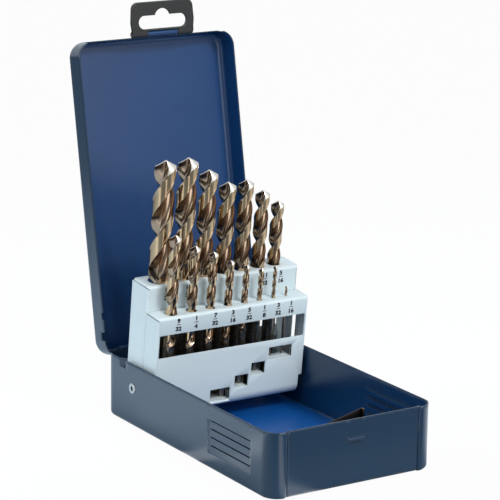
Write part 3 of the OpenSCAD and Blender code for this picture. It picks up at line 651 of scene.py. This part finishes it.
def holder_front():
    """Lower shelf, front panel with its windows, rounded bottom bend, floor and back plate, bent from one
    blank, with tongues bent in below the small windows and a side flange round each end."""
    top, front = LOW_SHELF, -FRONT_N
    shelf_rear = -RISER_N - 0.4
    corners = [(shelf_rear, top), (front, top), (front, -FLOOR_U - HOLDER_T),
               (REAR_N, -FLOOR_U - HOLDER_T), (REAR_N, BACK_U)]

    def widths(length, marks):
        """Full at the shelf, less the wrap at the panel, and narrow from u = 0 down round the bend to the
        back."""
        panel, narrow, full = HOLDER_HALF - WRAP_R, HOLDER_HALF - NOTCH_W, HOLDER_HALF
        s_top, s_bend = length[marks[0][0]], length[marks[0][1]]
        s_zero = s_bend + top - SHELF_R
        s_back = length[marks[2][1]] + FLOOR_U + HOLDER_T - 1.5
        return [(0, full), (s_top, full), (s_top + 1.2, full - 0.6), (s_bend, panel), (s_zero, panel),
                (s_zero, narrow), (s_back, narrow), (s_back, full - HOLDER_T), (length[-1], full - HOLDER_T)]

    def openings(length, marks):
        """The shelf's bit holes, the long window, and the small windows above the tongues."""
        s_zero = length[marks[0][1]] + (top - SHELF_R)
        high = s_zero - (top - WINDOW_DROP)
        rings = bit_holes(range(8), shelf_rear - FRONT_ROW_N)
        rings.append(box_ring(-WINDOW_W / 2, WINDOW_W / 2, high, high + WINDOW_H))
        return rings + [box_ring(left, right, s_zero - low - STEP_H, s_zero - low, 0.5)
                        for left, right, low in WINDOWS]

    def outward(p):
        """Away from the line n = -4, u = 20, and straight off the panel between the bends."""
        return np.array([0, p[1] + 4.0, 0 if 0 < p[2] < top - 2 else p[2] - 20.0])

    points, faces = sheet_strip(widths, corners, [SHELF_R, BEND_R, 1.5], openings)
    parts = [(points, face_out(points, faces, outward))]
    # tongues: a rounded lip at the window's lower edge, then level to the rear
    lip_r = 1.3
    a = np.linspace(0, math.pi / 2, 6)
    for left, right, low in WINDOWS:
        n = np.r_[front, front + lip_r * (1 - np.cos(a)), front + STEP_H]
        u = np.r_[low - lip_r - 0.01, low - lip_r + lip_r * np.sin(a), low]
        rows = np.concatenate([np.c_[np.full(len(n), x), n, u] for x in (left + 0.15, right - 0.15)])
        parts.append((rows, face_out(rows, grid_faces(2, len(n), False), lambda p: np.array([0, -1.0, 1.0]))))
    for side, short in ((-1, 0), (1, 2.4)):
        end = WRAP_ARC + FRONT_N - RISER_N - 0.1 - short - WRAP_R
        ring = [(0, 0), (end, 0), (end, top - PLATE_DROP), (PLATE_CHAMFER, top - PLATE_DROP),
                (0, top - PLATE_DROP_FRONT)]
        parts.append(upright_wrap(side, front, ring, []))
    return bent_sheet("holder_front_bending", parts, "holder_front")


def holder_rear():
    """Upper shelf and riser bent from one blank, with a side plate round each end that comes down to a
    round ear at the pivot. The left plate is wrapped from the riser, and the right one stands free of
    it."""
    top, front, ear_r, ear_u = HIGH_SHELF, -RISER_N, 8, -2
    corners = [(REAR_N, top), (front, top), (front, LOW_SHELF - 1.4)]

    def widths(length, marks):
        """Full at the shelf with rounded rear corners, less the wrap at the riser."""
        s_top, s_bend = length[marks[0][0]], length[marks[0][1]]
        full, panel = HOLDER_HALF, HOLDER_HALF - WRAP_R
        return [(0, full - 2.6), (0.5, full - 1.2), (1.4, full - 0.35), (3.0, full), (s_top, full),
                (s_top + 1.2, full - 0.6), (s_bend, panel), (length[-1], panel)]

    points, faces = sheet_strip(widths, corners, [SHELF_R],
                                lambda length, marks: bit_holes(range(8, 15), REAR_N - REAR_ROW_N))
    parts = [(points, face_out(points, faces, lambda p: np.array([0, -1.0, 1.0])))]
    pivot_s = WRAP_ARC - front - WRAP_R
    back = pivot_s + REAR_N
    w = np.radians(np.linspace(-8, -172, 22))
    ear = np.c_[pivot_s + ear_r * np.cos(w), ear_u + ear_r * np.sin(w)].tolist()
    rear_edge = [(back, top - PLATE_DROP), (back, -1.5)] + ear + [(WRAP_ARC + 1.5, 2)]
    wrapped = [(0, 4), (0, top - PLATE_DROP_FRONT), (PLATE_CHAMFER, top - PLATE_DROP)]
    for side, front_edge in ((-1, wrapped), (1, [(WRAP_ARC, 4), (WRAP_ARC, top - PLATE_DROP)])):
        parts.append(upright_wrap(side, front, front_edge + rear_edge, [circle(pivot_s, 0, 1.85, 28)]))
    return bent_sheet("holder_rear_bending", parts, "holder_rear")


# ---- bits ----

def bit_section(radius):
    """One half of a two-flute section as angles in degrees, radii, and 1 for flute points. Its lip's corner
    is at 0 and (-R, 0): a nearly straight face to the web, an arc of 0.47 R about (0.03, -0.56) R that
    hooks under the heel, then the land at 0.965 R up to a raised margin at the other lip's corner."""
    x = -np.linspace(1, 0.15, 7)
    face = np.c_[x, -0.02 - 0.085 * (1 + x)]
    w = np.radians(np.linspace(108, -58.8, 17))
    flute = np.concatenate([face, np.c_[0.03 + 0.47 * np.cos(w), -0.56 + 0.47 * np.sin(w)]])
    angle = np.degrees(np.arctan2(flute[:, 1], flute[:, 0])) + 180
    far = np.hypot(flute[:, 0], flute[:, 1])
    land = np.r_[np.linspace(angle[-1], 168, 10)[1:], 169.2, 170.0, 174.5, 179.4]
    land_r = np.where(land > 169.6, 1.0, 0.965)
    return np.r_[angle, land], np.r_[far, land_r] * radius, np.r_[np.ones(len(angle)), np.zeros(len(land))]


def twist_bit(k):
    """One bit: rows up the axis, columns round the section. The flutes turn right-handed, run out at the
    shank, and end on a cone of 120 degrees that falls away behind each cutting lip."""
    d, low_end, end = BIT_D[k], BIT_LEN[k] - FLUTE_LEN[k], BIT_LEN[k]
    shank_r = d / 2 - 0.03
    angles, radii, kind = bit_section(d / 2)
    half = len(angles)
    drop = 0.85 * radii * np.abs((180 - angles) / 90) ** 1.6 * smooth((np.arange(half) - 7) / 5)
    angles = np.r_[angles, angles + 180]
    radii, kind, drop = (np.r_[v, v] for v in (radii, kind, drop))
    even = np.r_[np.linspace(0, 180, half, endpoint=False), np.linspace(180, 360, half, endpoint=False)]
    n = len(angles)
    slope = 1 / math.tan(math.radians(60))
    turn = 360 / (HELIX * d)
    rim = end - radii * slope - drop
    count = max(30, int(FLUTE_LEN[k] / d * 10))
    rows = []

    def row(r, angle, z):
        """One row of points: each radius at its angle, turned on by the helix up to its height or the
        shank's end."""
        a = np.radians(angle + BIT_PHASE + turn * (np.maximum(z, low_end) - end))
        rows.append(np.c_[r * np.cos(a), r * np.sin(a), np.full(n, z)])

    shank = ((0.001, 0), (d / 2 - 0.35, 0), (shank_r, 0.35),
             (shank_r, low_end * 0.5), (shank_r, low_end - 0.2))
    for r, z in shank:
        row(r, even, z)
    for s in np.linspace(0, 1, count):
        z = low_end + (rim - low_end) * s
        blend = smooth((z - low_end) / (1.1 * d))
        row(shank_r * (1 - blend) + radii * blend, even * (1 - blend) + angles * blend, z)
    for s in (0.97, 0.75, 0.5, 0.25, 0.04):
        row(radii * s, angles, end - radii * s * slope - drop * s)
    points = np.concatenate(rows)
    quads = grid_faces(len(rows), n, True)
    level, column = quads[:, 0] // n, quads[:, 0] % n
    flute = (kind[column] + kind[(column + 1) % n]) > 0
    cone = len(shank) + count - 1
    # shank faces take the shank steel darkened as painted shade, and flute faces the bronze darkened as
    # painted shade
    slots = np.where(level < len(shank), 0, np.where(level >= cone, 3, np.where(flute, 2, 1)))
    faces = quads.tolist() + [list(range(n))[::-1], [(len(rows) - 1) * n + j for j in range(n)]]
    points = points + np.array([BIT_X[k], REAR_ROW_N if k > 7 else FRONT_ROW_N, STAND_U[k] + 0.1])
    name = "bit_" + BIT_NAMES[k]
    return piece("twist_" + name, raised(points), faces,
                 [SHANK_SHADE_STEEL, BRONZE_LAND, FLUTE_SHADE_BRONZE, GROUND_POINT],
                 name, [name], face_slots=np.r_[slots, 0, 3], sharp=32)


# ---- small round parts ----

def turned(name, profile, side, materials, replaced, count=48):
    """A ring on the base: a profile of (distance along X outwards, radius) turned about the holder's pivot
    line."""
    profile = np.array(profile)
    a = np.linspace(0, 2 * math.pi, count, endpoint=False)
    x, r = profile[:, 0][:, None], profile[:, 1][:, None]
    points = np.stack([side * (x + 0 * a), PIVOT_Y + r * np.cos(a), PIVOT_Z + r * np.sin(a)], -1)
    faces = grid_faces(len(profile) + 1, count, True) % (len(profile) * count)
    return piece(name, points.reshape(-1, 3), faces[:, ::-side], materials, "base", [replaced],
                 sharp=40)


def rivets():
    """Hollow rivets: a domed head rolled over at radius 3.25 outside, into a bore darkened inside as painted
    shade, a thin shank, and a flare inside the side plate; and the washers between the plate and the base's
    wall."""
    wall, inner = BASE_W / 2, HOLDER_HALF - HOLDER_T - 0.1
    w = np.linspace(0, math.pi / 2, 6)
    dome = np.r_[np.c_[wall + 0.72 * np.sin(w), 2.75 + 0.5 * np.cos(w)],
                 np.c_[wall + 0.17 + 0.55 * np.cos(w), 1.9 - 0.6 * np.sin(w)]]
    rivet = [(wall, 3.25), *dome, (inner - 0.7, 1.3), (inner - 0.7, 2.5), (inner - 0.35, 2.7), (inner, 2.7),
             (inner, 1.8), (wall, 1.8)]
    lo, hi = HOLDER_HALF + 0.05, HOLDER_HALF + SIDE_GAP
    washer = [(lo, 1.86), (lo, 3.8), (lo + 0.2, 4), (hi - 0.2, 4), (hi, 3.8), (hi, 1.86)]
    for side, word in ((-1, "left"), (1, "right")):
        made = turned("hollow_rivet_" + word, rivet, side, [ZINC, SPRING_STEEL_AND_BORE_SHADE], "pivot_rivet_" + word)
        # faces of the bore take the dark browned steel: painted shade inside the hole
        for face in made.data.polygons:
            from_axis = math.hypot(face.center.y - PIVOT_Y * MM, face.center.z - PIVOT_Z * MM)
            face.material_index = int(from_axis < 1.42 * MM)
        turned("pivot_spacer_" + word, washer, side, [ZINC], "pivot_washer_" + word)


# ---- labels ----

GLYPH_SIZE, GLYPH_WIDE, GLYPH_BOLD = 3.575, 1.12, 0.2
OVER, UNDER, BAR_HALF = 1.155, -3.795, 1.375


def fraction(over, under, x, n, u):
    """One drill size as a stacked fraction lying on a front face: numerals drawn flat, then stood up on the
    face."""
    points, faces, start = [], [], 0
    for words, rise in ((over, OVER), (under, UNDER)):
        curve = bpy.data.curves.new("numeral", "FONT")
        curve.body, curve.size, curve.align_x = words, GLYPH_SIZE, "CENTER"
        curve.resolution_u, curve.offset = 3, GLYPH_BOLD
        numeral = bpy.data.objects.new("numeral", curve)
        bpy.context.collection.objects.link(numeral)
        bpy.context.view_layer.update()
        mesh = bpy.data.meshes.new_from_object(numeral.evaluated_get(bpy.context.evaluated_depsgraph_get()))
        co = np.array([v.co[:] for v in mesh.vertices]).reshape(-1, 3)
        points.append(np.c_[co[:, 0] * GLYPH_WIDE, co[:, 1] + rise])
        faces += [[start + i for i in p.vertices] for p in mesh.polygons]
        start += len(co)
        bpy.data.objects.remove(numeral)
        bpy.data.curves.remove(curve)
        bpy.data.meshes.remove(mesh)
    points.append([(-BAR_HALF, -0.22), (BAR_HALF, -0.22), (BAR_HALF, 0.2), (-BAR_HALF, 0.2)])
    faces.append([start + i for i in range(4)])
    flat = np.concatenate(points)
    return np.c_[flat[:, 0] + x, np.full(len(flat), n), flat[:, 1] + u], faces


def labels():
    """The sizes below the holes of each row, a hair proud of the front panel and the riser; the last one of
    the front row stands 1.8 mm nearer the middle."""
    parts = []
    for k, name in enumerate(BIT_NAMES):
        n, u = (-FRONT_N - 0.03, 45.3) if k < 8 else (-RISER_N - 0.03, 60.0)
        parts.append(fraction(*name.split("_"), BIT_X[k] + 1.8 * (k == 7), n, u))
    points, faces = join(parts)
    faces = face_out(points, faces, lambda p: np.array([0, -1.0, 0]))
    return piece("bit_size_marks", raised(points), faces, [BLACK_INK], "holder", sharp=30)


# ---- hang tab ----

def ring_at(ring, inset):
    """A closed ring moved inwards along its own normals."""
    ring = np.asarray(ring, float)
    ahead, behind = np.roll(ring, -1, 0), np.roll(ring, 1, 0)
    along = ahead - behind
    along /= np.linalg.norm(along, axis=1)[:, None]
    return ring + np.c_[-along[:, 1], along[:, 0]] * inset


def rounded_ring(corners, radii, count=8):
    """A closed polygon with each corner rounded to its radius, counter-clockwise."""
    corners = np.asarray(corners, float)
    return np.concatenate([corner_arc(*three, r, count) for *three, r in
                           zip(np.roll(corners, 1, 0), corners, np.roll(corners, -1, 0), radii)])


def slot_outline():
    """The hang slot: a slot with round ends, and a round centre of CROWN_R that stands above its far edge,
    with its middle CROWN_SINK below that edge."""
    far, half, r = SLOT_NEAR + SLOT_H, SLOT_L / 2, SLOT_H / 2
    corners = [(-half, SLOT_NEAR), (half, SLOT_NEAR), (half, far), (-half, far)]
    ring = rounded_ring(corners, [r - 0.01] * 4, 10)
    shoulder = math.asin(CROWN_SINK / CROWN_R)
    arc = np.linspace(shoulder, math.pi - shoulder, 17)
    crown = np.c_[CROWN_R * np.cos(arc), far - CROWN_SINK + CROWN_R * np.sin(arc)]
    right, left = ring[ring[:, 0] > 0], ring[ring[:, 0] < 0]
    right = right[np.argsort(np.arctan2(right[:, 1] - SLOT_NEAR - r, right[:, 0] - half + r))]
    left = left[np.argsort(-np.arctan2(left[:, 1] - SLOT_NEAR - r, -(left[:, 0] + half - r)))]
    return np.concatenate([right, crown, left])


def hang_tab():
    """The tab as rings stacked through its thickness, each rounded over at both faces, joined round its
    outside and its slot, with flat faces between; two knuckles round the pin, and a web from each to the
    tab."""
    half, near, waist = TAB_W / 2, 1.6, 7.0
    outer = rounded_ring([(-half + 0.7, near), (half - 0.7, near), (half, waist), (half - 0.9, TAB_REACH),
                          (-half + 0.9, TAB_REACH), (-half, waist)], [0.8, 0.8, 6, 4.2, 4.2, 6])
    edge, face, back = 0.45, -TAB_INNER, TAB_T - TAB_INNER
    levels = [(edge, face), (edge * 0.3, face + edge * 0.3), (0, face + edge), (0, back - edge),
              (edge * 0.3, back - edge * 0.3), (edge, back)]
    parts, stacks = [], []
    for ring, sign in ((outer, 1), (slot_outline(), -1)):
        n = len(ring)
        stacks.append([np.c_[ring_at(ring, inset * sign), np.full(n, level)] for inset, level in levels])
        parts.append((np.concatenate(stacks[-1]), grid_faces(len(levels), n, True)[:, ::-sign]))
    for which, order in ((0, 1), (-1, -1)):
        flat, triangles = flat_sheet(stacks[0][which][:, :2].tolist(), [stacks[1][which][:, :2].tolist()], [])
        parts.append((np.c_[flat, np.full(len(flat), levels[which][1])], triangles[:, ::order]))
    # x, reach, level -> x, -reach, level about the pin
    parts = [(points * [1, -1, 1], faces) for points, faces in parts]
    start, end, bore, r, count = 10.5, 21.2, 0.95, 1.9, 40
    a = np.linspace(0, 2 * math.pi, count, endpoint=False)
    section = ((start, bore), (start, r - 0.3), (start + 0.25, r),
               (end - 0.25, r), (end, r - 0.3), (end, bore))
    for side in (-1, 1):
        knuckle = [np.c_[np.full(count, side * x), far * np.cos(a), far * np.sin(a)] for x, far in section]
        faces = grid_faces(len(section) + 1, count, True) % (len(section) * count)
        parts.append((np.concatenate(knuckle), faces[:, ::-side]))
        ends = sorted((side * start, side * end))
        web = np.array([(x, y, z) for x in ends for y in (-2.4, 0.0) for z in (face, back - 0.1)])
        parts.append((web, [[0, 1, 3, 2], [4, 6, 7, 5], [0, 4, 5, 1],
                            [2, 3, 7, 6], [0, 2, 6, 4], [1, 5, 7, 3]]))
    points, faces = join(parts)
    points = about_x(points, TAB_REST, 0, 0) + np.array([TAB_X, TAB_Y, TAB_Z])
    return piece("moulded_hang_tab", opened(points), faces, [BLACK_PLASTIC], "tab", ["hang_tab"],
                 sharp=40)


# ---- leaf spring ----

def leaf_spring():
    """A spring strip along a path: flat on the panel, then bowing away by a power curve, ending in a rolled
    eye."""
    length, bow, flat_part, t, high = 51.0, 17.0, 0.16, 0.5, 8.0
    s = np.linspace(0, 1, 40)
    y = np.where(s < flat_part, 0, bow * np.clip((s - flat_part) / (1 - flat_part), 0, None) ** 1.08)
    x = -length * 2 / 3 + length * s
    y = -BASE_L / 2 + PANEL_D + SHEET + y
    near, far = np.c_[x, y], np.c_[x, y + t]
    a = np.linspace(-math.pi * 0.62, math.pi * 0.62, 14)
    eye_r = 1.3
    eye = np.c_[x[-1] + 0.2 + eye_r * np.cos(a), y[-1] + t - eye_r + eye_r * np.sin(a)]
    ring = np.concatenate([near, eye, far[::-1]])
    top = BASE_H - 1.5
    levels = [(0.12, top - high), (0, top - high + 0.15), (0, top - 0.15), (0.12, top)]
    rows = [np.c_[ring_at(ring, inset), np.full(len(ring), z)] for inset, z in levels]
    points = np.concatenate(rows)
    n = len(ring)
    faces = grid_faces(len(rows), n, True).tolist()
    faces += [list(range(n))[::-1], [3 * n + j for j in range(n)]]
    return piece("bowed_leaf_spring", points, faces, [SPRING_STEEL_AND_BORE_SHADE], "base", ["leaf_spring"],
                 sharp=40)


# ---- dress ----

base_tray()
lid_shell()
holder_front()
holder_rear()
for bit_number in range(15):
    twist_bit(bit_number)
rivets()
hang_tab()
leaf_spring()
labels()

for node, material in {"base_hinge_leaf": BLUE_ENAMEL, "lid_hinge_leaf": BLUE_ENAMEL,
                       "lid_front_knuckle": BLUE_ENAMEL, "hinge_pin": ZINC, "tab_pin": ZINC}.items():
    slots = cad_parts[node].data.materials
    slots.clear()
    slots.append(material)


# ---- floor, light ----

WORLD_FRONT, WORLD_BACK, WORLD_TINT = 0.32, 0.8, (0.94, 1, 1.05, 1)
FLOOR_TINT, WHITE, FLOOR_HALF = (0.76, 0.9, 1.0), (1, 1, 1, 1), 30.0
# bearing from +Y towards +X, half width, strength
GLOSS_RAYS = [(-160.0, 6.0, 1.1), (-95.0, 8.0, 0.7), (118.0, 20.0, 0.5)]
# name, place, target, width, height, watts
LAMPS = [("key_softbox", (0.3, -1.0, 1.25), (0, 0.05, 0.06), 0.36, 0.36, 14.0),
         ("left_softbox", (-0.9, 0.0, 0.55), (0, 0.05, 0.06), 0.7, 0.6, 3.4),
         ("front_fill", (0.1, -1.35, 0.55), (0, 0.0, 0.15), 1.3, 0.9, 7.5)]


def stage_set():
    """A studio that is dim in front of the case and bright behind it, with a lamp above and in front, a
    large one on the left, a fill, and bright rays on the floor that only gloss sees. The camera sees a
    white floor and a white world; other rays see a floor that fades from grey in front to a cool white
    behind, and a world that does the same."""
    material, tree, place = new_material("white_floor")
    path = add(tree, "ShaderNodeLightPath")
    part = add(tree, "ShaderNodeSeparateXYZ", [(0, place)])
    behind = add(tree, "ShaderNodeMapRange", [("Value", part.outputs["Y"])],
                 in_1=-0.16, in_2=0.06, in_3=0.25, in_4=0.97)
    away = add(tree, "ShaderNodeVectorMath", [(0, place)], operation="LENGTH")
    near = add(tree, "ShaderNodeMapRange", [("Value", away.outputs["Value"])],
               in_1=0.2, in_2=0.8, in_3=1.0, in_4=0.3)
    shade = add(tree, "ShaderNodeMath", [(0, behind.outputs[0]), (1, near.outputs[0])], operation="MULTIPLY")
    cool = [add(tree, "ShaderNodeMath", [(0, shade.outputs[0])], operation="MULTIPLY", in_1=part_of_white)
            for part_of_white in FLOOR_TINT]
    tint = add(tree, "ShaderNodeCombineColor", [(k, node.outputs[0]) for k, node in enumerate(cool)])
    paint = add(tree, "ShaderNodeBsdfDiffuse", [("Color", tint.outputs[0])])
    glow = add(tree, "ShaderNodeEmission", in_Color=WHITE, in_Strength=1.0)
    seen = add(tree, "ShaderNodeMath", [(0, path.outputs["Is Camera Ray"])], operation="MULTIPLY", in_1=0.97)
    mixed = add(tree, "ShaderNodeMixShader",
                [(0, seen.outputs[0]), (1, paint.outputs[0]), (2, glow.outputs[0])])
    # what gloss sees of the floor: bright rays from the case's middle at three bearings
    bearing = add(tree, "ShaderNodeMath", [(0, part.outputs["X"]), (1, part.outputs["Y"])],
                  operation="ARCTAN2")
    total = None
    for centre, half, strength in GLOSS_RAYS:
        off = add(tree, "ShaderNodeMath", [(0, bearing.outputs[0])], operation="SUBTRACT",
                  in_1=math.radians(centre))
        off = add(tree, "ShaderNodeMath", [(0, off.outputs[0])], operation="ABSOLUTE")
        ray = add(tree, "ShaderNodeMapRange", [("Value", off.outputs[0])], in_1=math.radians(half * 0.6),
                  in_2=math.radians(half * 1.4), in_3=strength, in_4=0.0)
        if total is not None:
            ray = add(tree, "ShaderNodeMath", [(0, total.outputs[0]), (1, ray.outputs[0])])
        total = ray
    shine = add(tree, "ShaderNodeMath", [(0, total.outputs[0]), (1, path.outputs["Is Glossy Ray"])],
                operation="MULTIPLY")
    rays = add(tree, "ShaderNodeEmission", [("Strength", shine.outputs[0])], in_Color=WHITE)
    mixed = add(tree, "ShaderNodeAddShader", [(0, mixed.outputs[0]), (1, rays.outputs[0])])
    finished(material, mixed)
    mesh = bpy.data.meshes.new("floor")
    corners = [(x * FLOOR_HALF, y * FLOOR_HALF, -0.0002) for x, y in ((-1, -1), (1, -1), (1, 1), (-1, 1))]
    mesh.from_pydata(corners, [], [(0, 1, 2, 3)])
    mesh.materials.append(material)
    floor = bpy.data.objects.new("floor", mesh)
    bpy.context.collection.objects.link(floor)

    world = bpy.data.worlds.new("studio")
    bpy.context.scene.world = world
    world.use_nodes = True
    tree = world.node_tree
    tree.nodes.clear()
    path = add(tree, "ShaderNodeLightPath")
    seen = add(tree, "ShaderNodeMath", operation="MAXIMUM",
               links=[(0, path.outputs["Is Camera Ray"]), (1, path.outputs["Is Transmission Ray"])])
    ray = add(tree, "ShaderNodeTexCoord")
    part = add(tree, "ShaderNodeSeparateXYZ", [(0, ray.outputs["Generated"])])
    room = add(tree, "ShaderNodeMapRange", [("Value", part.outputs["Y"])],
               in_1=-0.75, in_2=0.5, in_3=WORLD_FRONT, in_4=WORLD_BACK)
    light = add(tree, "ShaderNodeBackground", [("Strength", room.outputs[0])], in_Color=WORLD_TINT)
    white = add(tree, "ShaderNodeBackground", in_Color=WHITE, in_Strength=1.0)
    mixed = add(tree, "ShaderNodeMixShader",
                [(0, seen.outputs[0]), (1, light.outputs[0]), (2, white.outputs[0])])
    add(tree, "ShaderNodeOutputWorld", [("Surface", mixed.outputs[0])])

    for name, place, target, size_x, size_y, power in LAMPS:
        lamp = bpy.data.lights.new(name, "AREA")
        lamp.shape, lamp.size, lamp.size_y, lamp.energy = "RECTANGLE", size_x, size_y, power
        softbox = bpy.data.objects.new(name, lamp)
        softbox.location = place
        softbox.rotation_euler = (Vector(target) - Vector(place)).to_track_quat("-Z", "Y").to_euler()
        bpy.context.collection.objects.link(softbox)


stage_set()
bpy.context.scene.view_settings.view_transform = "Standard"
